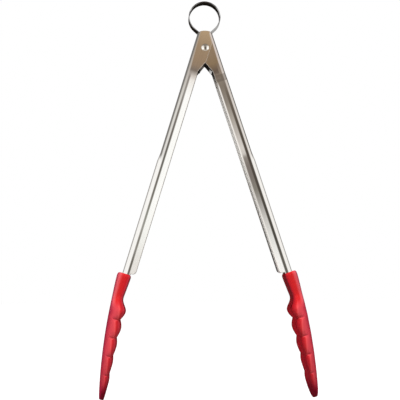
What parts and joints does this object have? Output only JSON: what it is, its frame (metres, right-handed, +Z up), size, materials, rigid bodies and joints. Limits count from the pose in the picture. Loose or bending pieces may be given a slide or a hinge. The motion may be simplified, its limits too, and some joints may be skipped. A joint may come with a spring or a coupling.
{
  "type": "kitchen tongs",
  "caption": "Spring loaded kitchen tongs: pressed steel channel arms on a rivet, scalloped silicone heads and a pull ring that locks them closed.",
  "frame": {"origin": "centre of the hanging ring", "axes": "+Z up along the centre line from the heads to the ring, X across the opening, Y along the rivet; the arm with the outer ears is on -X"},
  "size_m": [0.172, 0.04, 0.3179],
  "materials": {
    "pressed_steel": "polished stainless sheet with faint lengthwise grain",
    "silicone": "smooth satin red silicone",
    "rivet_steel": "polished domed head",
    "spring_wire": "drawn spring wire",
    "strip_steel": "polished stainless strip"
  },
  "bodies": {
    "lock_ring": {"lock_ring": "strip_steel"},
    "pivot": {"rivet": "rivet_steel", "torsion_spring": "spring_wire"},
    "left_side": {"left_arm": "pressed_steel", "left_head": "silicone"},
    "right_side": {"right_arm": "pressed_steel", "right_head": "silicone"}
  },
  "joints": [
    {"name": "ring_pull", "type": "slide", "parent": "lock_ring", "child": "pivot", "axis": [0, 0, -1], "range_m": [0, 0.006]},
    {"name": "left_hinge", "type": "hinge", "parent": "pivot", "child": "left_side", "pos_m": [0, 0, -0.0262], "axis": [0, -1, 0], "range_deg": [0, 16.3], "stiffness_Nm_per_rad": 0.35, "springref_deg": -34.38, "deforming": ["torsion_spring"]},
    {"name": "right_hinge", "type": "hinge", "parent": "pivot", "child": "right_side", "pos_m": [0, 0, -0.0262], "axis": [0, 1, 0], "range_deg": [0, 16.3], "stiffness_Nm_per_rad": 0.35, "springref_deg": -34.38}
  ],
  "couplings": [
    {"joint": "right_hinge", "follows": "left_hinge", "ratio": 1}
  ]
}
